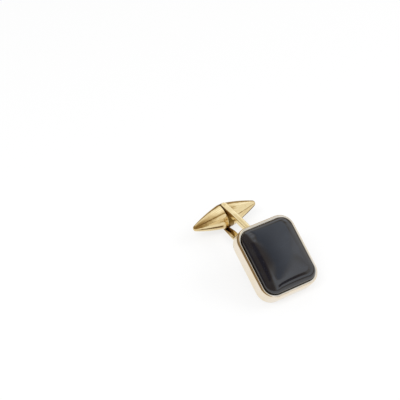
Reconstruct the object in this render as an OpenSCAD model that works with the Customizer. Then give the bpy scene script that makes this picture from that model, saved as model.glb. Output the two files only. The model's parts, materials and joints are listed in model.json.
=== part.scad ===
// A cufflink that lies as it does on a table: a cushion-shaped stone in a gold bezel,
// a fork that folds on a hinge behind the face, and a torpedo toggle that turns in the fork.
// Millimetres. Z is up, the table is z = 0, X runs along the face's short side and the
// fork points along +Y.

/* [Stone] */
// Width of the stone, along the face's short side
stone_w = 12; // [10:0.1:15]
// Height of the stone, along the face's long side
stone_h = 14.4; // [12:0.1:18]
// Corner radius of the stone's outline
stone_r = 2.4; // [1.6:0.1:3]
// How far the flat table of the stone stands above the bezel's lip
stone_rise = 2.3; // [1.5:0.1:3]
// How far the stone reaches down behind the lip
stone_sink = 1.9; // [1.2:0.1:2.2]
// How far the stone's side stands straight up above the lip
stone_side = 0.3; // [0.1:0.05:0.6]
// Width of the rounded shoulder between the stone's side and its table
shoulder_w = 1.8; // [1:0.1:2.2]
// Corner radius of the stone's flat table
table_r = 1.5; // [0.8:0.1:2]
// Gap between the stone and the bezel
stone_gap = 0.06; // [0.03:0.01:0.12]

/* [Bezel] */
// Depth of the bezel, from the lip to its back edge
bezel_depth = 3.2; // [3:0.1:4.5]
// Thickness of the bezel's wall
wall_t = 0.74; // [0.56:0.02:0.9]
// Radius of the rounded outer edge of the lip
lip_edge_r = 0.45; // [0.2:0.05:0.5]
// Radius of the rounded back edge of the bezel
back_edge_r = 0.2; // [0.1:0.05:0.3]
// Thickness of the plate that closes the back
plate_t = 0.7; // [0.5:0.05:1]
// Width of the ledge that the stone rests on
ledge_w = 0.7; // [0.4:0.05:1]
// Seam between pieces that are soldered or cemented together
seam = 0.02; // [0.01:0.01:0.03]

/* [Hinge] */
// Distance of the hinge pin behind the plate
hinge_drop = 1.2; // [1.15:0.05:1.6]
// Radius of the hinge pin
hinge_pin_r = 0.4; // [0.3:0.05:0.5]
// Radius of the barrel on the fork's foot
barrel_r = 0.9; // [0.8:0.05:1]
// Length of the barrel
barrel_len = 2.4; // [1.8:0.1:3.5]
// Radius of the round end of each hinge lug
lug_r = 0.95; // [0.8:0.05:1]
// Thickness of each hinge lug
lug_t = 0.8; // [0.6:0.05:1.2]
// Radius of the rivet head at each end of the hinge pin
rivet_head_r = 0.65; // [0.55:0.05:0.8]
// Height of the rivet head
rivet_head_h = 0.22; // [0.15:0.01:0.35]
// Gap at each end of the barrel
side_clear = 0.05; // [0.03:0.01:0.1]
// Radial running clearance of both pins
pin_clear = 0.03; // [0.02:0.01:0.06]

/* [Fork] */
// Length of the fork, from the hinge pin to the toggle's pin
fork_len = 18.1; // [15:0.1:21]
// Width of each leg where it meets the bend
leg_w = 1.2; // [0.9:0.05:1.3]
// Thickness of each leg and of the bend
leg_t = 1.2; // [0.9:0.05:1.4]
// Radius of the round eye at the end of each leg
eye_r = 0.7; // [0.6:0.05:0.8]
// Thickness of each eye, over the middle of the toggle
eye_t = 0.6; // [0.5:0.05:0.8]
// Gap between the folded fork and the plate that stops it
stop_gap = 0.04; // [0.02:0.01:0.1]

/* [Toggle] */
// Length of the toggle from tip to tip
toggle_len = 16; // [14:0.1:18]
// Radius of the toggle at its hub and at the mouths of its two cones
toggle_r = 2.7; // [2.3:0.05:3]
// Radius of the blunt tips
tip_r = 0.7; // [0.4:0.05:0.8]
// Angle between a cone's side and its axis where the side meets the tip
tip_angle = 22; // [20:0.5:26]
// Wall of the hollow cones
cone_wall = 0.35; // [0.3:0.05:0.45]
// Thickness of the disc that closes the mouth of each cone
cap_t = 0.4; // [0.3:0.05:0.6]
// Length of the hub along the toggle
hub_len = 1.4; // [1.3:0.05:1.8]
// Radius of the toggle's pin
toggle_pin_r = 0.35; // [0.3:0.05:0.4]
// Gap between the toggle and each leg as it turns
swing_clear = 0.08; // [0.05:0.01:0.1]
// How far the toggle is turned in the fork as it lies
toggle_turn = 2.5; // [-90:0.5:90]

/* [Hidden] */
$fn = 64;

gold = [0.86, 0.72, 0.42];
gold_inner = [0.72, 0.56, 0.28];
onyx = [0.09, 0.09, 0.11];
cement = [0.35, 0.33, 0.30];

// One overrun for every cut
overrun = 0.5;
// Sides of the stone's corner circles and steps up its shoulder
stone_fn = 32;
shoulder_steps = 8;
// Thickness of the thin slices that the stone's shoulder is drawn through
slice_t = stone_rise / 50;
// Steps along the curved side of each cone and round its tip
side_steps = 12;
tip_steps = 6;

// Levels in the face's own frame, whose origin is the middle of the lip's plane
plate_back = -bezel_depth;
plate_front = plate_back + plate_t;
stone_bottom = -stone_sink;
pin_level = plate_back - hinge_drop;
outer_half_h = stone_h / 2 + wall_t;

// The gap between the legs lets the round cones swing through it
fork_gap = 2 * (toggle_r + swing_clear);
fork_half = fork_gap / 2 + eye_t;

// The fork lies flat on the table, so the hinge and the toggle are at half its height,
// and the face leans back until the lower edge of the bezel meets the table
rest_level = fork_half;
reach = outer_half_h - back_edge_r;
drop = hinge_drop + back_edge_r;
face_tilt = asin((rest_level - back_edge_r) / norm([reach, drop])) + atan(drop / reach);
lean = 90 - face_tilt;

// Centre of the fork's round bend, set so that the bend meets the plate at the full lean
bend_y = (fork_half + stop_gap - hinge_drop) / cos(lean);

// Half the hinge, outside the barrel
lug_in = barrel_len / 2 + side_clear;
lug_out = lug_in + lug_t;

// The lip's rounded edge and the stone's shoulder reach furthest forward
face_back = bezel_depth + hinge_drop;
shoulder_high = stone_rise - stone_side;
shoulder_reach = norm([shoulder_w * cos(face_tilt), shoulder_high * sin(face_tilt)]);
front_reach = (stone_h / 2 - stone_gap - shoulder_w) * cos(face_tilt)
    + stone_side * sin(face_tilt) + shoulder_reach;
front_y = -face_back * sin(face_tilt) - front_reach;
back_y = fork_len + toggle_r;
// The frame's origin is the middle of the part's box, so the hinge sits here
hinge_y = -(front_y + back_y) / 2;

// Each cone runs from the end of the hub to its tip, and the disc sits in its mouth
cone_len = (toggle_len - hub_len) / 2;
cap_r = toggle_r - cone_wall;

// Placing

module place_face() {
    translate([0, hinge_y, rest_level])
        rotate([face_tilt, 0, 0])
            translate([0, 0, face_back])
                children();
}

module place_fork() {
    translate([0, hinge_y, rest_level])
        children();
}

module place_toggle() {
    translate([0, hinge_y + fork_len, rest_level])
        rotate([0, 0, toggle_turn])
            children();
}

// A child drawn upright is turned so that its height runs along X
module along_x() {
    rotate([90, 0, 90])
        children();
}

// Shared shapes

// A rectangle with round corners, drawn from its full size and corner radius
module round_rect(w, h, r, sides = $fn) {
    square([w - 2 * r, h], center = true);
    square([w, h - 2 * r], center = true);
    for (sx = [-1, 1], sy = [-1, 1])
        translate([sx * (w / 2 - r), sy * (h / 2 - r)])
            circle(r = r, $fn = sides);
}

// Carries a profile round a rectangle with round corners. In the profile, x is the
// distance outside the rectangle's edge and y is the height
module round_frame(w, h, r) {
    corners = [[1, 1], [-1, 1], [-1, -1], [1, -1]];
    for (i = [0:3])
        translate([corners[i][0] * (w / 2 - r), corners[i][1] * (h / 2 - r), 0])
            rotate([0, 0, 90 * i])
                rotate_extrude(angle = 90)
                    translate([r, 0])
                        children();
    for (turn = [0, 180])
        rotate([0, 0, turn]) {
            rotate([90, 0, 0])
                linear_extrude(height = h - 2 * r, center = true)
                    translate([w / 2, 0])
                        children();
            rotate([0, 0, 90])
                rotate([90, 0, 0])
                    linear_extrude(height = w - 2 * r, center = true)
                        translate([h / 2, 0])
                            children();
        }
}

// Face

// The wall is rounded on its outer side only, at the lip and at the back
module wall_profile() {
    top_flat = wall_t - lip_edge_r;
    back_flat = wall_t - back_edge_r;
    translate([0, plate_back + back_edge_r])
        square([wall_t, bezel_depth - back_edge_r - lip_edge_r]);
    translate([0, -bezel_depth / 2])
        square([top_flat, bezel_depth / 2]);
    translate([0, plate_back])
        square([back_flat, bezel_depth / 2]);
    intersection() {
        translate([top_flat, -lip_edge_r])
            circle(r = lip_edge_r);
        translate([0, -bezel_depth])
            square([wall_t, bezel_depth]);
    }
    translate([back_flat, plate_back + back_edge_r])
        circle(r = back_edge_r);
}

module bezel() {
    color(gold)
        place_face()
            round_frame(stone_w, stone_h, stone_r)
                wall_profile();
}

module back_plate() {
    color(gold)
        place_face()
            translate([0, 0, plate_back])
                linear_extrude(height = plate_t)
                    round_rect(stone_w - 2 * seam, stone_h - 2 * seam, stone_r - seam);
}

module bearer_ledge() {
    ledge_h = stone_bottom - plate_front - 2 * seam;
    color(gold_inner)
        place_face()
            translate([0, 0, plate_front + seam])
                round_frame(stone_w, stone_h, stone_r)
                    translate([-ledge_w - seam, 0])
                        square([ledge_w, ledge_h]);
}

module stone_cement() {
    inset = ledge_w + 2 * seam;
    color(cement)
        place_face()
            translate([0, 0, plate_front + seam])
                linear_extrude(height = stone_bottom - plate_front - 2 * seam)
                    round_rect(stone_w - 2 * inset, stone_h - 2 * inset, stone_r - inset);
}

// One thin slice of the stone: share 0 is the outline and share 1 the flat table
module stone_slice(share, level) {
    inset = stone_gap + shoulder_w * share;
    translate([0, 0, level])
        linear_extrude(height = slice_t)
            round_rect(
                stone_w - 2 * inset, stone_h - 2 * inset,
                stone_r - stone_gap + (table_r - stone_r) * share, stone_fn
            );
}

module onyx_stone() {
    color(onyx)
        place_face()
            hull() {
                stone_slice(0, stone_bottom);
                for (i = [0:shoulder_steps]) {
                    turn = 90 * i / shoulder_steps;
                    level = stone_side + shoulder_high * sin(turn) - slice_t;
                    stone_slice(1 - cos(turn), level);
                }
            }
}

// Hinge

module hinge_lug(side) {
    height = hinge_drop - seam;
    color(gold)
        place_face()
            translate([side * (lug_in + lug_out) / 2, 0, pin_level])
                along_x()
                    linear_extrude(height = lug_t, center = true)
                        difference() {
                            union() {
                                circle(r = lug_r);
                                translate([-lug_r, 0])
                                    square([2 * lug_r, height]);
                            }
                            circle(r = hinge_pin_r + seam);
                        }
}

module hinge_lug_left() {
    hinge_lug(-1);
}

module hinge_lug_right() {
    hinge_lug(1);
}

// Half of the pin's outline, turned round the pin's own axis
module hinge_pin() {
    half = lug_out + seam;
    crown_r = rivet_head_r - rivet_head_h;
    color(gold_inner)
        place_face()
            translate([0, 0, pin_level])
                along_x()
                    rotate_extrude()
                        polygon([
                            [0, -half - rivet_head_h], [crown_r, -half - rivet_head_h],
                            [rivet_head_r, -half], [hinge_pin_r, -half],
                            [hinge_pin_r, half], [rivet_head_r, half],
                            [crown_r, half + rivet_head_h], [0, half + rivet_head_h]
                        ]);
}

// Fork

// A barrel, a short neck and the round bend that the legs grow out of
module fork_foot() {
    neck_len = bend_y - fork_half + leg_t / 2;
    color(gold)
        place_fork()
            difference() {
                union() {
                    along_x()
                        cylinder(r = barrel_r, h = barrel_len, center = true);
                    translate([-leg_w / 2, 0, -leg_w / 2])
                        cube([leg_w, neck_len, leg_w]);
                    along_x()
                        linear_extrude(height = leg_w, center = true)
                            difference() {
                                translate([bend_y, 0])
                                    circle(r = fork_half);
                                translate([bend_y, 0])
                                    circle(r = fork_half - leg_t);
                                translate([bend_y, -fork_half - overrun])
                                    square([fork_half + overrun, 2 * (fork_half + overrun)]);
                            }
                }
                along_x()
                    cylinder(
                        r = hinge_pin_r + pin_clear,
                        h = barrel_len + overrun, center = true
                    );
            }
}

// The space that the toggle sweeps as it turns round its pin
module swing_space() {
    rotate_extrude()
        polygon(concat(
            [[0, 0], [0, toggle_r + swing_clear]],
            [for (p = cone_outline(toggle_r, cone_len, tip_r))
                [hub_len / 2 + p[1], p[0] + swing_clear]],
            [[toggle_len / 2, 0]]
        ));
}

// The upper leg. It widens a little towards its eye, which is bored for the toggle's pin,
// and its underside is hollowed where the toggle passes
module fork_leg() {
    start = bend_y + seam;
    difference() {
        translate([0, 0, fork_half - leg_t])
            linear_extrude(height = leg_t) {
                polygon([
                    [-leg_w / 2, start], [leg_w / 2, start],
                    [eye_r, fork_len], [-eye_r, fork_len]
                ]);
                translate([0, fork_len])
                    circle(r = eye_r);
            }
        translate([0, fork_len, 0]) {
            swing_space();
            cylinder(r = toggle_pin_r + seam, h = fork_half + overrun);
        }
    }
}

module fork_leg_upper() {
    color(gold)
        place_fork()
            fork_leg();
}

module fork_leg_lower() {
    color(gold)
        place_fork()
            mirror([0, 0, 1])
                fork_leg();
}

module toggle_pin() {
    color(gold_inner)
        place_toggle()
            cylinder(r = toggle_pin_r, h = 2 * (fork_half - seam), center = true);
}

// Toggle

// The hub is as thick as the mouths of the cones, and is bored across for the pin
module toggle_hub() {
    color(gold)
        place_toggle()
            difference() {
                along_x()
                    cylinder(r = toggle_r, h = hub_len - 2 * seam, center = true);
                cylinder(r = toggle_pin_r + pin_clear, h = fork_gap, center = true);
            }
}

// A disc soldered into the mouth of its cone
module toggle_cap(side) {
    color(gold_inner)
        place_toggle()
            along_x()
                translate([0, 0, side * (hub_len + cap_t) / 2])
                    cylinder(r = cap_r - seam, h = cap_t - seam, center = true);
}

module toggle_cap_left() {
    toggle_cap(-1);
}

module toggle_cap_right() {
    toggle_cap(1);
}

// Outline of a cone with a slightly full side, from its mouth to its round tip. The side
// bends steadily, so that it runs into the tip's circle without a corner
function cone_outline(mouth_r, length, end_r) =
    let (
        side_end = length - end_r * (1 - sin(tip_angle)),
        side_end_r = end_r * cos(tip_angle),
        fullness = side_end * tan(tip_angle) - (mouth_r - side_end_r)
    )
    concat(
        [for (i = [0:side_steps])
            let (share = i / side_steps)
                [
                    mouth_r + (side_end_r - mouth_r) * share + fullness * share * (1 - share),
                    side_end * share
                ]],
        [for (i = [1:tip_steps])
            let (turn = tip_angle + (90 - tip_angle) * i / tip_steps)
                [end_r * cos(turn), length - end_r * (1 - sin(turn))]]
    );

module toggle_cone(side) {
    hollow_r = cap_r - cone_wall / 2;
    hollow_len = cone_len - cap_t - 2 * cone_wall;
    color(gold)
        place_toggle()
            rotate([0, side * 90, 0])
                translate([0, 0, hub_len / 2])
                    rotate_extrude()
                        difference() {
                            polygon(concat([[0, 0]], cone_outline(toggle_r, cone_len, tip_r)));
                            translate([0, -overrun])
                                square([cap_r, cap_t + overrun]);
                            translate([0, cap_t - seam])
                                polygon(concat(
                                    [[0, 0]],
                                    cone_outline(hollow_r, hollow_len, tip_r - cone_wall / 2)
                                ));
                        }
}

module toggle_cone_left() {
    toggle_cone(-1);
}

module toggle_cone_right() {
    toggle_cone(1);
}

onyx_stone();
stone_cement();
bearer_ledge();
bezel();
back_plate();
hinge_lug_left();
hinge_lug_right();
hinge_pin();
fork_foot();
fork_leg_upper();
fork_leg_lower();
toggle_pin();
toggle_hub();
toggle_cap_left();
toggle_cap_right();
toggle_cone_left();
toggle_cone_right();
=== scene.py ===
# The looks of the cufflink: polished gold and black onyx on a plain pale floor.
# Sizes are in millimetres and are turned into metres where a mesh is made.
import json
from math import atan2, cos, pi, radians, sin, tan

import bpy
from mathutils import Matrix, Vector


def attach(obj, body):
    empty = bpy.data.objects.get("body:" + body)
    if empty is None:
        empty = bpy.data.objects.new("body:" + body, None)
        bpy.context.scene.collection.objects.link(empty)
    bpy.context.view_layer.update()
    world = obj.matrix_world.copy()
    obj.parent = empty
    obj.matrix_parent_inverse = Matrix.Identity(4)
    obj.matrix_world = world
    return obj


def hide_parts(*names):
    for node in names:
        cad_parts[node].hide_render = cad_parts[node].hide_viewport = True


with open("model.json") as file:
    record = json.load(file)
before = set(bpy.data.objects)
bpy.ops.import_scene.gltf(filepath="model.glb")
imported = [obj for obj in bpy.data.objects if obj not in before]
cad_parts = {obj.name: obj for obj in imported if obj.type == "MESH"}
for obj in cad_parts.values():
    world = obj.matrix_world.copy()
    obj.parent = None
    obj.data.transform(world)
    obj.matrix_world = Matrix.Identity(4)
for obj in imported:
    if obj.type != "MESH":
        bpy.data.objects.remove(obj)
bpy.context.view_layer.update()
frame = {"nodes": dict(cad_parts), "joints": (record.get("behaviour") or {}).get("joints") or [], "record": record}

MM = 0.001

# Stone
STONE_W = 12.0
STONE_H = 14.4
STONE_R = 2.4
STONE_RISE = 2.3
STONE_SINK = 1.9
STONE_SIDE = 0.3
STONE_GAP = 0.06
STONE_EDGE = 0.15
SHOULDER_W = 2.3
SHOULDER_POWER = 2.0
TABLE_R = 1.3
CROWN = 0.7
# The rim of the stone is unpolished and painted darker, as shade in the groove by the lip, up to the low height
# over the lip, and polished and unshaded from the high one
RIM_LOW = 0.2
RIM_HIGH = 0.5

# Bezel and back
BEZEL_DEPTH = 3.2
WALL_T = 0.74
LIP_EDGE_W = 0.45
LIP_EDGE_H = 0.7
LIP_INNER_R = 0.14
LIP_WAVER = 0.015
# The lip's waves: how many in a turn, their share of the waver and where they start
LIP_WAVES = ((5, 0.6, 0), (13, 0.4, 1))
# Rows of points down the straight wall, as shares of its depth
WALL_ROWS = (0.375, 0.5, 0.625, 0.75)
BACK_EDGE_R = 0.2
PLATE_T = 0.7
PLATE_EDGE_R = 0.06
SEAM = 0.02

# Hinge
HINGE_DROP = 1.2
BARREL_R = 0.9
BARREL_LEN = 2.4
BARREL_EDGE_R = 0.08
LUG_R = 0.95
LUG_T = 0.8
LUG_EDGE_R = 0.08
HINGE_PIN_R = 0.4
RIVET_R = 0.65
RIVET_H = 0.22
SIDE_CLEAR = 0.05

# Fork
FORK_LEN = 18.1
LEG_W = 1.2
LEG_T = 1.2
LEG_EDGE_R = 0.14
NECK_EDGE_R = 0.05
# No rounded edge takes more than this share of a narrow end
EDGE_SHARE = 0.9
EYE_R = 0.7
EYE_T = 0.6
END_DIP = 0.25
END_DIP_LEN = 4.5
EYE_END = radians(86)
STOP_GAP = 0.04
# Where the legs get painted shade beside the toggle: full this near to its axis, and none this far
LEG_SHADE_NEAR = 2.5
LEG_SHADE_FAR = 5.0

# Toggle
TOGGLE_LEN = 16.0
TOGGLE_R = 2.7
TIP_R = 0.7
TIP_ANGLE = radians(22)
MOUTH_EDGE_R = 0.03
CONE_WALL = 0.35
CAP_T = 0.4
CAP_EDGE_R = 0.05
HUB_LEN = 1.4
TOGGLE_PIN_R = 0.35
PIN_DOME_H = 0.025
SWING_CLEAR = 0.08
TOGGLE_TURN = radians(2.5)
# The last small ring of a dome and of a tip
DOME_END_R = 0.02
TIP_END_R = 0.01

# Edges that turn by more than this stay sharp
SHARP_ANGLE = radians(50)

# Steps of the smooth meshes
CORNER_STEPS = 20
SIDE_STEPS = 14
ROUND_STEPS = 96
EDGE_STEPS = 5
ROUNDING_STEPS = 6
SHOULDER_STEPS = 32
TABLE_STEPS = 18
LIP_STEPS = 16
LUG_STEPS = 24
HEAD_STEPS = 8
LEG_STEPS = 60
EYE_STEPS = 16
BEND_STEPS = 48
MOUTH_STEPS = 4
CONE_STEPS = 48
TIP_STEPS = 16

# The camera, fitted to the photograph. The pixel is where the middle of the face is seen
PICTURE = 400
FACE_PIXEL = (278.1, 255.6)
CAMERA_AZIMUTH = radians(-29.67)
CAMERA_ELEVATION = radians(38.09)
CAMERA_ROLL = radians(-1.96)
CAMERA_DISTANCE = 230.0
FOCAL_PIXELS = 1138.0
SENSOR = 36.0
CLIP_START = 1.0
CLIP_END = 100000.0

# Places of the bodies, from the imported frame
joints = {j["name"]: j for j in frame["joints"]}
table_mount = next(m for m in frame["record"]["mounts"] if m["name"] == "stone_table")
HINGE = Vector(joints["fork_hinge"]["pos_m"]) / MM
TOGGLE = Vector(joints["toggle_swivel"]["pos_m"]) / MM
FACE_NORMAL = Vector(table_mount["axis"])
FACE_MIDDLE = Vector(table_mount["pos_m"]) / MM - FACE_NORMAL * STONE_RISE
FACE_TILT = atan2(-FACE_NORMAL.y, FACE_NORMAL.z)

ON_FACE = Matrix.Translation(FACE_MIDDLE) @ Matrix.Rotation(FACE_TILT, 4, "X")
ON_FORK = Matrix.Translation(HINGE)
ON_TOGGLE = Matrix.Translation(TOGGLE) @ Matrix.Rotation(TOGGLE_TURN, 4, "Z")
# A shape drawn upright is turned so that its height runs along X, and its x along Y
ALONG_X = Matrix(((0, 0, 1, 0), (1, 0, 0, 0), (0, 1, 0, 0), (0, 0, 0, 1)))
SIDES = ((-1, "left"), (1, "right"))

FORK_HALF = TOGGLE_R + SWING_CLEAR + EYE_T
BEND_Y = (FORK_HALF + STOP_GAP - HINGE_DROP) / sin(FACE_TILT)
CONE_LEN = (TOGGLE_LEN - HUB_LEN) / 2
CAP_R = TOGGLE_R - CONE_WALL
CONE_SIDE = CONE_LEN - TIP_R * (1 - sin(TIP_ANGLE))


# Objects and directions

def new_object(name, data):
    thing = bpy.data.objects.new(name, data)
    bpy.context.scene.collection.objects.link(thing)
    return thing


def direction(azimuth, elevation):
    """From the object towards these angles. The azimuth is counted from the front."""
    level = cos(elevation)
    return Vector((sin(azimuth) * level, -cos(azimuth) * level, sin(elevation)))


# Mesh helpers

def add_piece(name, verts, faces, place, material, body, nodes):
    """Makes a mesh from points in millimetres, in its place, riding on its body."""
    mesh = bpy.data.meshes.new(name)
    if place.determinant() < 0:
        faces = [tuple(reversed(face)) for face in faces]
    mesh.from_pydata([(place @ Vector(v)) * MM for v in verts], [], faces)
    mesh.validate()
    mesh.materials.append(material)
    mesh.polygons.foreach_set("use_smooth", [True] * len(mesh.polygons))
    mesh.set_sharp_from_angle(angle=SHARP_ANGLE)
    piece = new_object(name, mesh)
    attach(piece, body)
    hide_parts(*nodes)


def skin(rings, ring_of_rings=False):
    """Joins rings of equal length with quads. The two ends are closed with fans to their
    middles, or joined to each other in a ring of rings."""
    n = len(rings[0])
    verts = [p for ring in rings for p in ring]
    faces = []
    last = len(rings) if ring_of_rings else len(rings) - 1
    for k in range(last):
        a = k * n
        b = ((k + 1) % len(rings)) * n
        for i in range(n):
            j = (i + 1) % n
            faces.append((a + i, a + j, b + j, b + i))
    if not ring_of_rings:
        for k in (0, len(rings) - 1):
            middle = sum((Vector(p) for p in rings[k]), Vector()) / n
            verts.append(tuple(middle))
            c = len(verts) - 1
            for i in range(n):
                j = (i + 1) % n
                edge = (k * n + i, k * n + j)
                faces.append((edge[1], edge[0], c) if k == 0 else (*edge, c))
    return verts, faces


def arc(steps, start=0.0, end=pi / 2):
    """Angles from start to end, both included."""
    return [start + (end - start) * i / steps for i in range(steps + 1)]


def round_rect(w, h, r, level):
    """A loop round a rectangle with round corners, with the same points for every size."""
    loop = []
    corners = ((1, 1), (-1, 1), (-1, -1), (1, -1))
    for k, (sx, sy) in enumerate(corners):
        centre = Vector((sx * (w / 2 - r), sy * (h / 2 - r), level))
        for a in arc(CORNER_STEPS, k * pi / 2, (k + 1) * pi / 2):
            loop.append(centre + Vector((r * cos(a), r * sin(a), 0)))
        sx, sy = corners[(k + 1) % 4]
        a = (k + 1) * pi / 2
        end = Vector((sx * (w / 2 - r) + r * cos(a), sy * (h / 2 - r) + r * sin(a), level))
        start = loop[-1]
        for i in range(1, SIDE_STEPS):
            loop.append(start.lerp(end, i / SIDE_STEPS))
    return loop


def lathe(profile):
    """Rings round the upright axis, from points of radius and height."""
    rings = []
    for r, z in profile:
        turns = [2 * pi * i / ROUND_STEPS for i in range(ROUND_STEPS)]
        rings.append([(r * cos(t), r * sin(t), z) for t in turns])
    return rings


def slab(outline, inset, half_t, edge_r):
    """Rings of a flat piece with rounded edges. outline(d) is its loop drawn in by d."""
    rings = []
    for side in (-1, 1):
        turns = arc(EDGE_STEPS)
        for a in turns if side < 0 else reversed(turns):
            drawn_in = inset + edge_r * (1 - sin(a))
            level = side * (half_t - edge_r * (1 - cos(a)))
            rings.append([(x, y, level) for x, y in outline(drawn_in)])
    return rings


def rod(radius, half, edge_r):
    """Rings of a short round bar with rounded ends."""
    profile = [(radius - edge_r * (1 - sin(a)), edge_r * (1 - cos(a)) - half)
               for a in arc(EDGE_STEPS)]
    profile += [(r, -z) for r, z in reversed(profile)]
    return lathe(profile)


# Colours
PALE_GOLD = (0.91, 0.84, 0.74)
SOFT_GOLD = (0.89, 0.80, 0.64)
WARM_GOLD = (0.89, 0.77, 0.56)
YELLOW_GOLD = (0.90, 0.77, 0.48)
DEEP_GOLD = (0.87, 0.72, 0.42)
# Painted reflection: the tan of dim streaks on the toggle
PAINTED_STREAK_GOLD = (0.72, 0.54, 0.27)
# Painted shade: the hub between the cones and the legs beside the toggle take these dark golds
SHADE_GOLD = (0.30, 0.18, 0.05)
DEEP_SHADE_GOLD = (0.16, 0.09, 0.016)
ONYX_BLACK = (0.005, 0.007, 0.013)
ONYX_CLOUD = (0.009, 0.012, 0.019)
# Painted shade in the groove round the stone
ONYX_RIM_SHADE = (0.004, 0.003, 0.002)
CEMENT_DARK = (0.24, 0.22, 0.19)
CEMENT_PALE = (0.42, 0.40, 0.36)
PAPER_DARK = (0.78, 0.78, 0.78)
PAPER_PALE = (0.82, 0.82, 0.82)
WHITE = (1, 1, 1)
COOL_WHITE = (0.96, 1.0, 1.05)

# Noises of the surfaces. The scale is in features per millimetre
PATCH_NOISE = {"scale": 0.35, "detail": 2.0}
HAIRLINE_NOISE = {"scale": 9.0, "detail": 4.0, "rough": 0.7}
WORN_NOISE = {"scale": 1.6, "detail": 3.0, "rough": 0.6}
SWELL_NOISE = {"scale": 0.5, "detail": 1.0}
STREAK_NOISE = {"scale": 1.7, "detail": 2.0}
BAND_NOISE = {"scale": 1.1, "detail": 3.0, "rough": 0.6}
LAYER_NOISE = {"scale": 0.22, "detail": 4.0, "stretch": (1, 1, 3.5)}
RUB_NOISE = {"scale": 7.0, "detail": 5.0, "rough": 0.7, "stretch": (0.15, 1, 1)}
CLOUD_NOISE = {"scale": 0.9, "detail": 2.0}
GRAIN_NOISE = {"scale": 6.0, "detail": 5.0}
FIBRE_NOISE = {"scale": 3.0, "detail": 4.0}

# The values of those noises between which a surface changes
PATCH_ENDS = (0.35, 0.7)
POLISH_ENDS = (0.35, 0.65)
BAND_ENDS = (0.45, 0.62)
LAYER_ENDS = (0.4, 0.75)
CLOUD_ENDS = (0.3, 0.7)
GRAIN_ENDS = (0.2, 0.8)

# How deep the swell and the hairlines of gold are, as multiples of its wave
SWELL_DEPTH = 10
HAIRLINE_DEPTH = 0.06
# How much of the uneven polish comes from wear. The rest comes from hairlines
WORN_SHARE = 0.7
# The onyx's and the cement's reflection and roughness, and their depths in millimetres
ONYX_IOR = 1.7
ONYX_ROUGH = (0.04, 0.09)
RIM_ROUGH = 0.7
RUB_DEPTH = 0.0002
CEMENT_ROUGH = (0.75, 0.95)
CEMENT_DEPTH = 0.03


# Material helpers

class Nodes:
    """A short way to add and join shader nodes."""

    def __init__(self, tree):
        self.tree = tree
        tree.nodes.clear()

    def add(self, kind, inputs=None, **settings):
        node = self.tree.nodes.new(kind)
        for key, value in settings.items():
            setattr(node, key, value)
        for key, value in (inputs or {}).items():
            if isinstance(value, bpy.types.NodeSocket):
                self.tree.links.new(value, node.inputs[key])
            else:
                node.inputs[key].default_value = value
        return node

    def math(self, operation, a, b=0.0):
        return self.add("ShaderNodeMath", {0: a, 1: b}, operation=operation).outputs[0]

    def product(self, first, *others):
        for other in others:
            first = self.math("MULTIPLY", first, other)
        return first

    def blend(self, a, b, share):
        """a where share is 0, and b where it is 1."""
        return self.math("ADD", self.product(a, self.math("SUBTRACT", 1.0, share)),
                         self.product(b, share))

    def remap(self, value, low, high, to_low, to_high):
        """A smooth step from one value to another, as the input goes from low to high."""
        inputs = {"Value": value, "From Min": low, "From Max": high,
                  "To Min": to_low, "To Max": to_high}
        node = self.add("ShaderNodeMapRange", inputs, interpolation_type="SMOOTHSTEP")
        return node.outputs[0]

    def rise(self, value, ends):
        """0 below the two ends, and 1 over them."""
        return self.remap(value, *ends, 0.0, 1.0)

    def fall(self, value, ends):
        """1 below the two ends, and 0 over them."""
        return self.remap(value, *ends, 1.0, 0.0)

    def mix_colour(self, factor, a, b):
        """a where the factor is 0, and b where it is 1. Both are sockets or colours."""
        inputs = {"Factor": factor, "A": a, "B": b}
        node = self.add("ShaderNodeMix", None, data_type="RGBA")
        for key, value in inputs.items():
            socket = next(s for s in node.inputs if s.name == key and
                          (s.type == "RGBA" or key == "Factor" and s.type == "VALUE"))
            if isinstance(value, bpy.types.NodeSocket):
                self.tree.links.new(value, socket)
            else:
                socket.default_value = (*value, 1)
        return next(s for s in node.outputs if s.type == "RGBA")

    def noise(self, scale, detail, rough=0.5, stretch=(1, 1, 1)):
        """Noise in object coordinates, finer in the directions that stretch raises."""
        where = self.add("ShaderNodeTexCoord").outputs["Object"]
        size = tuple(s * scale / MM for s in stretch)
        mapped = self.add("ShaderNodeMapping", {"Vector": where, "Scale": size})
        inputs = {"Vector": mapped.outputs[0], "Scale": 1.0, "Detail": detail,
                  "Roughness": rough}
        return self.add("ShaderNodeTexNoise", inputs).outputs["Fac"]

    def surface(self, inputs):
        """Ends a material with a shader of these inputs."""
        shader = self.add("ShaderNodeBsdfPrincipled", inputs)
        self.add("ShaderNodeOutputMaterial", {"Surface": shader.outputs[0]})


def new_material(name, slot):
    material = bpy.data.materials.new(name)
    material.use_nodes = True
    material["slot"] = slot
    return material, Nodes(material.node_tree)


def bump(nodes, height, depth_mm, normal=None):
    inputs = {"Height": height, "Distance": depth_mm * MM, "Strength": 1.0}
    if normal is not None:
        inputs["Normal"] = normal
    return nodes.add("ShaderNodeBump", inputs).outputs[0]


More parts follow.
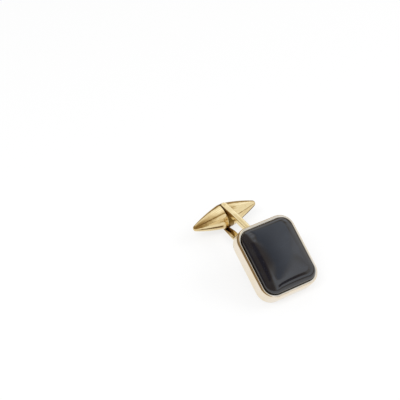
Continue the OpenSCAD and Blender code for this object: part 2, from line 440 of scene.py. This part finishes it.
def polished_gold(name, slot, colour, deep, rough=(0.05, 0.16), grain=(1, 1, 1), wave=0.004,
                  streak=0.0, painted_streak_share=0.0, toggle_shade=False):
    """Gold with an uneven hand polish, hairline scratches and streaks along its grain, and tan bands along it
    painted as dim streaks of reflection.

    A piece with the toggle's shade is painted darker by the toggle, below its top: painted shade where the legs
    run beside it."""
    material, n = new_material(name, slot)
    patches = n.noise(**PATCH_NOISE)
    hairlines = n.noise(stretch=grain, **HAIRLINE_NOISE)
    worn = n.noise(**WORN_NOISE)
    swell = n.noise(**SWELL_NOISE)
    base = n.mix_colour(n.rise(patches, PATCH_ENDS), colour, deep)
    polish = n.math("ADD", n.product(worn, WORN_SHARE), n.product(hairlines, 1 - WORN_SHARE))
    normal = bump(n, swell, wave * SWELL_DEPTH)
    if streak:
        streaks = n.noise(stretch=grain, **STREAK_NOISE)
        normal = bump(n, streaks, streak, normal=normal)
        # Painted reflection: tan bands along the grain stand in for dim streaks of reflection
        bands = n.remap(n.noise(stretch=grain, **BAND_NOISE), *BAND_ENDS, 0.0, painted_streak_share)
        base = n.mix_colour(bands, base, PAINTED_STREAK_GOLD)
    normal = bump(n, hairlines, wave * HAIRLINE_DEPTH, normal=normal)
    # Painted shade: the legs turn dark gold beside the toggle and below their top
    if toggle_shade:
        where = n.add("ShaderNodeTexCoord").outputs["Object"]
        _, y, z = n.add("ShaderNodeSeparateXYZ", {0: where}).outputs
        near = n.rise(y, ((TOGGLE.y - LEG_SHADE_FAR) * MM, (TOGGLE.y - LEG_SHADE_NEAR) * MM))
        off = n.math("ABSOLUTE", n.math("SUBTRACT", z, TOGGLE.z * MM))
        top = FORK_HALF - END_DIP
        below = n.fall(off, ((top - LEG_EDGE_R) * MM, top * MM))
        base = n.mix_colour(n.product(near, below), base, SHADE_GOLD)
    n.surface({
        "Base Color": base,
        "Metallic": 1.0,
        "Roughness": n.remap(polish, *POLISH_ENDS, *rough),
        "Normal": normal,
    })
    return material


def onyx():
    """Black onyx: faint cloudy layers under a glass polish, unpolished down by the lip, where its colour is
    painted darker as the shade in the groove.
    """
    material, n = new_material("onyx_polish", "onyx")
    layers = n.noise(**LAYER_NOISE)
    hairlines = n.noise(**RUB_NOISE)
    cloud = n.noise(**CLOUD_NOISE)
    base = n.mix_colour(n.rise(layers, LAYER_ENDS), ONYX_BLACK, ONYX_CLOUD)
    where = n.add("ShaderNodeTexCoord").outputs["Object"]
    axis = {0: where, 1: FACE_NORMAL}
    level = n.add("ShaderNodeVectorMath", axis, operation="DOT_PRODUCT").outputs["Value"]
    level = n.math("SUBTRACT", level, FACE_MIDDLE.dot(FACE_NORMAL) * MM)
    # Painted shade: the rim turns near black, as the groove by the lip is in shade, and it is rougher there
    rim = n.fall(level, (RIM_LOW * MM, RIM_HIGH * MM))
    base = n.mix_colour(rim, base, ONYX_RIM_SHADE)
    polish = n.remap(cloud, *CLOUD_ENDS, *ONYX_ROUGH)
    n.surface({
        "Base Color": base,
        "Roughness": n.math("ADD", polish, n.product(rim, RIM_ROUGH)),
        "IOR": ONYX_IOR,
        "Normal": bump(n, hairlines, RUB_DEPTH),
    })
    return material


def setting_cement():
    """Grey cement with a grainy surface, hidden under the stone."""
    material, n = new_material("setting_cement", "cement")
    grain = n.noise(**GRAIN_NOISE)
    base = n.mix_colour(grain, CEMENT_DARK, CEMENT_PALE)
    n.surface({
        "Base Color": base,
        "Roughness": n.remap(grain, *GRAIN_ENDS, *CEMENT_ROUGH),
        "Normal": bump(n, grain, CEMENT_DEPTH),
    })
    return material


bezel_gold = polished_gold("bezel_gold", "gold", PALE_GOLD, SOFT_GOLD, grain=(0.2, 1, 1))
fork_gold = polished_gold("fork_gold", "gold", YELLOW_GOLD, DEEP_GOLD, grain=(1, 0.1, 1),
                          wave=0.002, toggle_shade=True)
toggle_gold = polished_gold("toggle_gold", "gold", YELLOW_GOLD, DEEP_GOLD,
                            grain=(0.08, 1, 1), streak=0.02, painted_streak_share=0.7)
# The hub is painted dark gold, as the shade between the two cones
hub_shade_gold = polished_gold("hub_shade_gold", "gold", SHADE_GOLD, DEEP_SHADE_GOLD, rough=(0.18, 0.3))
inner_gold = polished_gold("inner_gold", "gold", WARM_GOLD, DEEP_GOLD, rough=(0.2, 0.35))
pin_gold = polished_gold("pin_gold", "pin_gold", YELLOW_GOLD, DEEP_GOLD, rough=(0.16, 0.3))
onyx_polish = onyx()
cement = setting_cement()


# Face

def stone():
    """The onyx: a straight side and a full shoulder, with a soft crown over it all."""
    w = STONE_W - 2 * STONE_GAP
    h = STONE_H - 2 * STONE_GAP
    r = STONE_R - STONE_GAP
    rise = STONE_RISE - STONE_SIDE - CROWN
    rings = []
    side = ((STONE_EDGE, -STONE_SINK), (0, STONE_EDGE - STONE_SINK), (0, 0))
    for inset, level in side:
        rings.append(round_rect(w - 2 * inset, h - 2 * inset, r - inset, level))
    for a in arc(SHOULDER_STEPS):
        share = 1 - max(cos(a), 0) ** (2 / SHOULDER_POWER)
        inset = SHOULDER_W * share
        level = STONE_SIDE + rise * sin(a) ** (2 / SHOULDER_POWER)
        rings.append(round_rect(w - 2 * inset, h - 2 * inset, r + (TABLE_R - r) * share, level))
    table = rings[-1]
    for k in range(1, TABLE_STEPS):
        scale = 1 - k / TABLE_STEPS
        rings.append([Vector((p.x * scale, p.y * scale, p.z)) for p in table])
    for ring in rings[len(side):]:
        for p in ring:
            p.z += CROWN * (1 - (2 * p.x / w) ** 2) * (1 - (2 * p.y / h) ** 2)
    verts, faces = skin(rings)
    verts[-1] = (0, 0, STONE_SIDE + rise + CROWN)
    return verts, faces


def bezel():
    """The wall and its lip, rubbed over by hand, so that its line wavers a little."""
    profile = [(LIP_INNER_R * (1 - cos(a)), -LIP_INNER_R * (1 - sin(a)))
               for a in arc(ROUNDING_STEPS)]
    profile += [(WALL_T - LIP_EDGE_W * (1 - sin(a)), -LIP_EDGE_H * (1 - cos(a)))
                for a in arc(LIP_STEPS)]
    profile += [(WALL_T, -BEZEL_DEPTH * share) for share in WALL_ROWS]
    profile += [(WALL_T - BACK_EDGE_R * (1 - cos(a)),
                 BACK_EDGE_R * (1 - sin(a)) - BEZEL_DEPTH) for a in arc(ROUNDING_STEPS)]
    profile += [(0, -BEZEL_DEPTH), (0, -BEZEL_DEPTH / 2)]
    rings = []
    for out, level in profile:
        ring = round_rect(STONE_W + 2 * out, STONE_H + 2 * out, STONE_R + out, level)
        if 0 < out < WALL_T and level > -LIP_EDGE_H:
            for i, p in enumerate(ring):
                turn = 2 * pi * i / len(ring)
                waves = sum(share * sin(count * turn + start)
                            for count, share, start in LIP_WAVES)
                p.z -= LIP_WAVER * (1 + waves)
        rings.append(ring)
    return skin(rings, ring_of_rings=True)


def plate_outline(drawn_in):
    inset = SEAM + drawn_in
    loop = round_rect(STONE_W - 2 * inset, STONE_H - 2 * inset, STONE_R - inset, 0)
    return [(p.x, p.y) for p in loop]


def lug_outline(drawn_in):
    """A round end below and a flat foot on the plate."""
    r = LUG_R - drawn_in
    top = HINGE_DROP - SEAM
    points = [(r * cos(a), r * sin(a)) for a in arc(LUG_STEPS, pi, 2 * pi)]
    return points + [(r, top / 2), (r, top), (0, top), (-r, top), (-r, top / 2)]


place = ON_FACE @ Matrix.Translation((0, 0, PLATE_T / 2 - BEZEL_DEPTH))
add_piece("stone_tablet", *stone(), ON_FACE, onyx_polish, "face", ["onyx_stone"])
add_piece("bezel_wall", *bezel(), ON_FACE, bezel_gold, "face", ["bezel"])
add_piece("back_sheet", *skin(slab(plate_outline, 0, PLATE_T / 2, PLATE_EDGE_R)), place,
          bezel_gold, "face", ["back_plate"])

PIN_LEVEL = -BEZEL_DEPTH - HINGE_DROP
ON_HINGE = ON_FACE @ Matrix.Translation((0, 0, PIN_LEVEL))
LUG_MIDDLE = BARREL_LEN / 2 + SIDE_CLEAR + LUG_T / 2
for side, name in SIDES:
    place = ON_HINGE @ Matrix.Translation((side * LUG_MIDDLE, 0, 0)) @ ALONG_X
    add_piece(f"lug_{name}", *skin(slab(lug_outline, 0, LUG_T / 2, LUG_EDGE_R)), place,
              bezel_gold, "face", [f"hinge_lug_{name}"])


def rivet():
    """The hinge pin with a domed head at each end."""
    end = LUG_MIDDLE + LUG_T / 2 + SEAM
    half = [(RIVET_R * cos(a), end + RIVET_H * sin(a)) for a in arc(HEAD_STEPS)]
    half[-1] = (DOME_END_R, end + RIVET_H)
    profile = [(HINGE_PIN_R, end), *half]
    return lathe([(r, -z) for r, z in reversed(profile)] + profile)


add_piece("hinge_rivet", *skin(rivet()), ON_HINGE @ ALONG_X, pin_gold, "face", ["hinge_pin"])


# Fork

def cone_radius(along):
    """The toggle's radius at a distance from the mouth of a cone, up to its round tip."""
    end_r = TIP_R * cos(TIP_ANGLE)
    fullness = CONE_SIDE * tan(TIP_ANGLE) - (TOGGLE_R - end_r)
    share = max(along, 0) / CONE_SIDE
    return TOGGLE_R + (end_r - TOGGLE_R) * share + fullness * share * (1 - share)


def section(half_w, low, high, edge_r):
    """Points of a rectangle with round corners, wide in X and high in Z."""
    r = min(edge_r, EDGE_SHARE * half_w)
    points = []
    for k, (sx, z) in enumerate(((1, high - r), (-1, high - r), (-1, low + r), (1, low + r))):
        for a in arc(EDGE_STEPS, k * pi / 2, (k + 1) * pi / 2):
            points.append((sx * (half_w - r) + r * cos(a), z + r * sin(a)))
    return points


def leg():
    """The upper leg: it widens to its eye and thins there, and gives way to the toggle."""
    start = BEND_Y + SEAM
    stations = []
    for i in range(LEG_STEPS):
        share = i / LEG_STEPS
        half_w = LEG_W / 2 + (EYE_R - LEG_W / 2) * share
        stations.append((start + (FORK_LEN - start) * share, half_w))
    stations += [(FORK_LEN + EYE_R * sin(a), EYE_R * cos(a))
                 for a in arc(EYE_STEPS, 0, EYE_END)]
    rings = []
    for y, half_w in stations:
        swept = cone_radius(abs(y - FORK_LEN) - HUB_LEN / 2) + SWING_CLEAR
        low = max(FORK_HALF - LEG_T, swept)
        share = min(max((y - FORK_LEN + END_DIP_LEN) / END_DIP_LEN, 0), 1)
        high = FORK_HALF - END_DIP * share * share * (3 - 2 * share)
        rings.append([(x, y, z) for x, z in section(half_w, low, high, LEG_EDGE_R)])
    return skin(rings)


def bend():
    """The round bend: a strip with rounded edges, carried round half a circle."""
    strip = section(LEG_W / 2, FORK_HALF - LEG_T, FORK_HALF, LEG_EDGE_R)
    rings = []
    for a in arc(BEND_STEPS, pi / 2, 3 * pi / 2):
        rings.append([(x, BEND_Y + out * cos(a), out * sin(a)) for x, out in strip])
    return skin(rings)


def neck_outline(drawn_in):
    half = LEG_W / 2 - drawn_in
    length = BEND_Y - FORK_HALF + LEG_T / 2
    return [(half, 0), (half, length), (-half, length), (-half, 0)]


def toggle_rivet():
    """The toggle's pin, whose ends are spread into low domes."""
    top = FORK_HALF - END_DIP
    dome = [(TOGGLE_PIN_R * cos(a), top + PIN_DOME_H * sin(a))
            for a in arc(ROUNDING_STEPS)[:-1]]
    dome.append((DOME_END_R, top + PIN_DOME_H))
    return lathe([(r, -z) for r, z in reversed(dome)] + dome)


flipped = ON_FORK @ Matrix.Scale(-1, 4, (0, 0, 1))
add_piece("leg_upper", *leg(), ON_FORK, fork_gold, "fork", ["fork_leg_upper"])
add_piece("leg_lower", *leg(), flipped, fork_gold, "fork", ["fork_leg_lower"])
add_piece("fork_bend", *bend(), ON_FORK, fork_gold, "fork", ["fork_foot"])
add_piece("fork_neck", *skin(slab(neck_outline, SEAM, LEG_W / 2, NECK_EDGE_R)), ON_FORK,
          fork_gold, "fork", ["fork_foot"])
add_piece("fork_barrel", *skin(rod(BARREL_R, BARREL_LEN / 2, BARREL_EDGE_R)),
          ON_FORK @ ALONG_X, fork_gold, "fork", ["fork_foot"])
place = ON_FORK @ Matrix.Translation((0, FORK_LEN, 0))
add_piece("toggle_rivet", *skin(toggle_rivet()), place, pin_gold, "fork", ["toggle_pin"])


# Toggle

def cone():
    """A bullet with a slightly full side that runs into its round tip without a corner."""
    profile = [(CAP_R, CAP_T), (CAP_R, MOUTH_EDGE_R)]
    profile += [(CAP_R + MOUTH_EDGE_R * (1 - cos(a)), MOUTH_EDGE_R * (1 - sin(a)))
                for a in arc(MOUTH_STEPS)]
    profile += [(TOGGLE_R - MOUTH_EDGE_R * (1 - sin(a)), MOUTH_EDGE_R * (1 - cos(a)))
                for a in arc(MOUTH_STEPS)]
    for i in range(1, CONE_STEPS + 1):
        along = CONE_SIDE * i / CONE_STEPS
        profile.append((cone_radius(along), along))
    for a in arc(TIP_STEPS, TIP_ANGLE, pi / 2)[1:-1]:
        profile.append((TIP_R * cos(a), CONE_LEN - TIP_R * (1 - sin(a))))
    profile.append((TIP_END_R, CONE_LEN))
    return lathe(profile)


for side, name in SIDES:
    turned = ON_TOGGLE @ Matrix.Rotation(side * pi / 2, 4, "Y")
    place = turned @ Matrix.Translation((0, 0, HUB_LEN / 2))
    add_piece(f"cone_{name}", *skin(cone()), place, toggle_gold, "toggle",
              [f"toggle_cone_{name}"])
    place = place @ Matrix.Translation((0, 0, CAP_T / 2))
    add_piece(f"cap_{name}", *skin(rod(CAP_R - SEAM, (CAP_T - SEAM) / 2, CAP_EDGE_R)), place,
              toggle_gold, "toggle", [f"toggle_cap_{name}"])
add_piece("hub", *skin(rod(TOGGLE_R, HUB_LEN / 2 - SEAM, MOUTH_EDGE_R)),
          ON_TOGGLE @ ALONG_X, hub_shade_gold, "toggle", ["toggle_hub"])

# The sealed inner pieces keep their own meshes
for node, material in (("stone_cement", cement), ("bearer_ledge", inner_gold)):
    mesh = frame["nodes"][node].data
    mesh.materials.clear()
    mesh.materials.append(material)


# Floor, light and camera

# Half the width of the floor, and how much of it glows: as the camera sees it, and as the
# polished surfaces do
FLOOR_HALF = 4000
CAMERA_GLOW = 0.72
MIRROR_GLOW = 0.9
# The light on the floor lies in a pool around the object, as its mirror image shows
POOL_MIDDLE = (-5, -8, 0)
POOL_NEAR = 16.0
POOL_FAR = 60.0
POOL_LIGHT = 0.92
POOL_EDGE = 0.3
# Patches of painted shade lie on the floor by the toggle, one before its left cone and one behind its right cone,
# in place of the shade under it. Only their mirror images show. Each is its middle and its half width in x and y
SHADE_PATCHES = ((-4.5, 7.6, 2.9, 0.9), (6.8, 13.4, 4.4, 2.2))
SHADE_PATCH_BLUR = 0.8
SHADE_PATCH_LIGHT = 0.12
# Dim light is warm. Its green and its blue follow its strength by these powers, down to a
# least strength
GREEN_POWER = 0.3
BLUE_POWER = 0.9
LEAST_LIGHT = 0.02


def warmed(n, light):
    """A colour for light of this strength: white when it is full and warmer as it dims."""
    level = n.math("MINIMUM", light, 1.0)
    level = n.math("MAXIMUM", level, LEAST_LIGHT)
    shares = {0: 1.0, 1: n.math("POWER", level, GREEN_POWER),
              2: n.math("POWER", level, BLUE_POWER)}
    return n.add("ShaderNodeCombineColor", shares).outputs[0]


def seen_by(n):
    """Whether the camera sees a ray's light, and whether a mirroring surface does."""
    path = n.add("ShaderNodeLightPath").outputs
    mirrored = n.math("MAXIMUM", path["Is Glossy Ray"], path["Is Transmission Ray"])
    return path["Is Camera Ray"], mirrored


def beyond(n, value, middle, half):
    """How far a value lies outside a stretch, given by its middle and its half width."""
    off = n.math("ABSOLUTE", n.math("SUBTRACT", value, middle * MM))
    return n.math("SUBTRACT", off, half * MM)


def floor_light(n):
    """The pool of light on the floor, with the patches of painted shade that lie in it."""
    where = n.add("ShaderNodeNewGeometry").outputs["Position"]
    middle = tuple(v * MM for v in POOL_MIDDLE)
    away = n.add("ShaderNodeVectorMath", {0: where, 1: middle}, operation="DISTANCE")
    pool = n.remap(away.outputs["Value"], POOL_NEAR * MM, POOL_FAR * MM, POOL_LIGHT, POOL_EDGE)
    x, y, _ = n.add("ShaderNodeSeparateXYZ", {0: where}).outputs
    # Painted shade, darkening the floor's glow where the toggle's reflections see it
    for patch_x, patch_y, half_x, half_y in SHADE_PATCHES:
        outside = n.math("MAXIMUM", beyond(n, x, patch_x, half_x), beyond(n, y, patch_y, half_y))
        pool = n.product(pool, n.remap(outside, 0.0, SHADE_PATCH_BLUR * MM, SHADE_PATCH_LIGHT, 1.0))
    return pool


def make_floor():
    """A pale floor that takes the shadow. The camera sees it white, and polished surfaces
    see its pool of light."""
    size = FLOOR_HALF * MM
    mesh = bpy.data.meshes.new("floor")
    corners = [(-size, -size, 0), (size, -size, 0), (size, size, 0), (-size, size, 0)]
    mesh.from_pydata(corners, [], [(0, 1, 2, 3)])
    floor = new_object("floor", mesh)
    material, n = new_material("floor_paper", "floor")
    paper = n.mix_colour(n.noise(**FIBRE_NOISE), PAPER_DARK, PAPER_PALE)
    matt = n.add("ShaderNodeBsdfDiffuse", {"Color": paper})
    camera, mirror = seen_by(n)
    light = n.math("MAXIMUM", floor_light(n), camera)
    glow = n.add("ShaderNodeEmission", {"Color": warmed(n, light), "Strength": light})
    share = n.math("ADD", n.product(camera, CAMERA_GLOW), n.product(mirror, MIRROR_GLOW))
    both = n.add("ShaderNodeMixShader", {0: share, 1: matt.outputs[0], 2: glow.outputs[0]})
    n.add("ShaderNodeOutputMaterial", {"Surface": both.outputs[0]})
    mesh.materials.append(material)


# What the polished surfaces see above the floor, as a strength at the foot and then its
# steps between elevations in degrees: behind the object a dim foot and a white band, and in
# front a white foot, a dark gap and a white band
BEHIND = (0.15, (3, 9, 0.35), (19, 24, 0.65))
FRONT = (1.0, (12, 17, -0.88), (26, 31, 0.9), (44, 52, -0.15))
FRONT_RIGHT = (1.0, (12, 17, -0.3), (26, 31, 0.3), (44, 52, -0.15))
# Slats of the ceiling: how many from the middle of the room to its back, how far along they
# start, how much they take away, and the values of their wave between which they set in
SLAT_COUNT = 3.2
SLAT_START = 0.1
SLAT_DEPTH = 0.25
SLAT_ENDS = (-0.5, 1.0)
# Limits of the parts of the room, as parts of a direction of length 1: x to the right, y to
# the back and height up. Each part sets in between the two values of its limit
FRONT_Y = (-0.2, 0.1)
BANDS_X = (0.1, 0.2)
FRONT_RIGHT_X = (0.4, 0.65)
SHADE_HEIGHT = (0.54, 0.67)
SHADE_X = (0.25, 0.4)
SLATS_HEIGHT = (0.35, 0.5)
SLATS_Y = (-0.5, -0.35)
SLATS_X = (-0.04, 0.02)
WALL_X = (0.5, 0.65)
WALL_HEIGHT = (0.55, 0.65)
WALL_BACK_Y = (0.1, 0.35)
WALL_FRONT_Y = (-0.4, -0.3)
WALL_FAR_X = (0.7, 0.85)
SCREEN_HEIGHT = (sin(radians(44)), sin(radians(50)))
SCREEN_X = (0.15, 0.28)
SCREEN_BACK_Y = (-0.34, -0.24)
SCREEN_FRONT_Y = (-0.56, -0.44)
LEFT_X = (-0.25, 0.05)
# Strengths of the parts: how much the shade takes away, the wall, the screen from one x to
# another, the left side, and the whole room for surfaces that don't mirror it
SHADE_DEPTH = 0.45
WALL_LIGHT = 0.9
SCREEN_LIGHT_X = (0.2, 0.58)
SCREEN_LIGHT = (0.4, 0.82)
LEFT_LIGHT = 0.3
PLAIN_LIGHT = 0.8
# Soft lamps, which light the floor: azimuth and elevation in degrees, distance and size in
# millimetres, and power in watts
LAMPS = {
    "key": (-60, 55, 450, (260, 160), 0.9),
    "fill": (70, 40, 450, (300, 200), 0.6),
}


def banded(n, height, bands):
    foot, *steps = bands
    for low, high, change in steps:
        step = n.remap(height, sin(radians(low)), sin(radians(high)), 0.0, change)
        foot = n.math("ADD", foot, step)
    return foot


def front_and_back(n, x, y, height):
    """The bands of light, with a shade in the upper right of those behind the object."""
    front = n.blend(banded(n, height, FRONT), banded(n, height, FRONT_RIGHT),
                    n.rise(x, FRONT_RIGHT_X))
    front = n.blend(1.0, front, n.rise(x, BANDS_X))
    shade = n.product(n.remap(height, *SHADE_HEIGHT, 0.0, SHADE_DEPTH), n.rise(x, SHADE_X))
    behind = n.math("SUBTRACT", banded(n, height, BEHIND), shade)
    return n.blend(behind, front, n.fall(y, FRONT_Y))


def slats(n, x, y, height):
    """What the slats take away, on the right of the ceiling and off its front."""
    wave = n.math("SINE", n.product(n.math("SUBTRACT", y, SLAT_START), 2 * pi * SLAT_COUNT))
    return n.product(n.remap(wave, *SLAT_ENDS, 0.0, SLAT_DEPTH), n.rise(height, SLATS_HEIGHT),
                     n.rise(y, SLATS_Y), n.rise(x, SLATS_X))


def right_wall(n, x, y, height):
    """Where the right wall is seen. Near the front only its far end is."""
    deep = n.math("MAXIMUM", n.rise(y, WALL_FRONT_Y), n.rise(x, WALL_FAR_X))
    return n.product(n.rise(x, WALL_X), n.fall(height, WALL_HEIGHT), n.fall(y, WALL_BACK_Y),
                     deep)


def make_world():
    """A pale room. Polished surfaces see its bands of light and its dim left side."""
    world = bpy.data.worlds.new("studio")
    world.use_nodes = True
    bpy.context.scene.world = world
    n = Nodes(world.node_tree)
    where = n.add("ShaderNodeTexCoord").outputs["Generated"]
    x, y, height = n.add("ShaderNodeSeparateXYZ", {0: where}).outputs
    room = front_and_back(n, x, y, height)
    room = n.math("SUBTRACT", room, slats(n, x, y, height))
    room = n.blend(room, WALL_LIGHT, right_wall(n, x, y, height))
    # A screen over the object. Its right part is cool, and a strip reaches over to the left
    on_right = n.rise(x, SCREEN_X)
    strip = n.product(n.fall(y, SCREEN_BACK_Y), n.rise(y, SCREEN_FRONT_Y))
    screen = n.product(n.rise(height, SCREEN_HEIGHT), n.math("MAXIMUM", on_right, strip))
    room = n.blend(room, n.remap(x, *SCREEN_LIGHT_X, *SCREEN_LIGHT), screen)
    room = n.product(room, n.remap(x, *LEFT_X, LEFT_LIGHT, 1.0))
    camera, mirror = seen_by(n)
    plain = n.math("MAXIMUM", camera, PLAIN_LIGHT)
    colour = n.mix_colour(n.product(screen, on_right), warmed(n, room), COOL_WHITE)
    colour = n.mix_colour(mirror, WHITE, colour)
    light = {"Color": colour, "Strength": n.blend(plain, room, mirror)}
    sky = n.add("ShaderNodeBackground", light)
    n.add("ShaderNodeOutputWorld", {"Surface": sky.outputs[0]})


def area_light(name, azimuth, elevation, distance, size, power):
    """A soft oblong light that faces the object. Polished surfaces don't see it."""
    lamp = bpy.data.lights.new(name, "AREA")
    lamp.shape = "RECTANGLE"
    lamp.size, lamp.size_y = (s * MM for s in size)
    lamp.energy = power
    light = new_object(name, lamp)
    back = direction(radians(azimuth), radians(elevation))
    light.location = back * distance * MM
    light.rotation_mode = "QUATERNION"
    light.rotation_quaternion = back.to_track_quat("Z", "Y")
    light.visible_glossy = False


def make_camera():
    """Puts the camera where the photograph's was, and turns it so the face is in its place."""
    back = direction(CAMERA_AZIMUTH, CAMERA_ELEVATION)
    level = Vector((cos(CAMERA_AZIMUTH), sin(CAMERA_AZIMUTH), 0))
    upright = back.cross(level)
    right = level * cos(CAMERA_ROLL) + upright * sin(CAMERA_ROLL)
    up = upright * cos(CAMERA_ROLL) - level * sin(CAMERA_ROLL)
    x = (FACE_PIXEL[0] - PICTURE / 2) / FOCAL_PIXELS
    y = (PICTURE / 2 - FACE_PIXEL[1]) / FOCAL_PIXELS
    sight = (right * x + up * y - back).normalized()
    data = bpy.data.cameras.new("camera")
    data.sensor_width = SENSOR
    data.lens = SENSOR * FOCAL_PIXELS / PICTURE
    data.clip_start = CLIP_START * MM
    data.clip_end = CLIP_END * MM
    camera = new_object("camera", data)
    turn = Matrix((right, up, back)).transposed()
    place = (FACE_MIDDLE - sight * CAMERA_DISTANCE) * MM
    camera.matrix_world = Matrix.Translation(place) @ turn.to_4x4()
    bpy.context.scene.camera = camera


make_floor()
make_world()
for name, settings in LAMPS.items():
    area_light(name, *settings)
make_camera()
bpy.context.scene.view_settings.view_transform = "Standard"
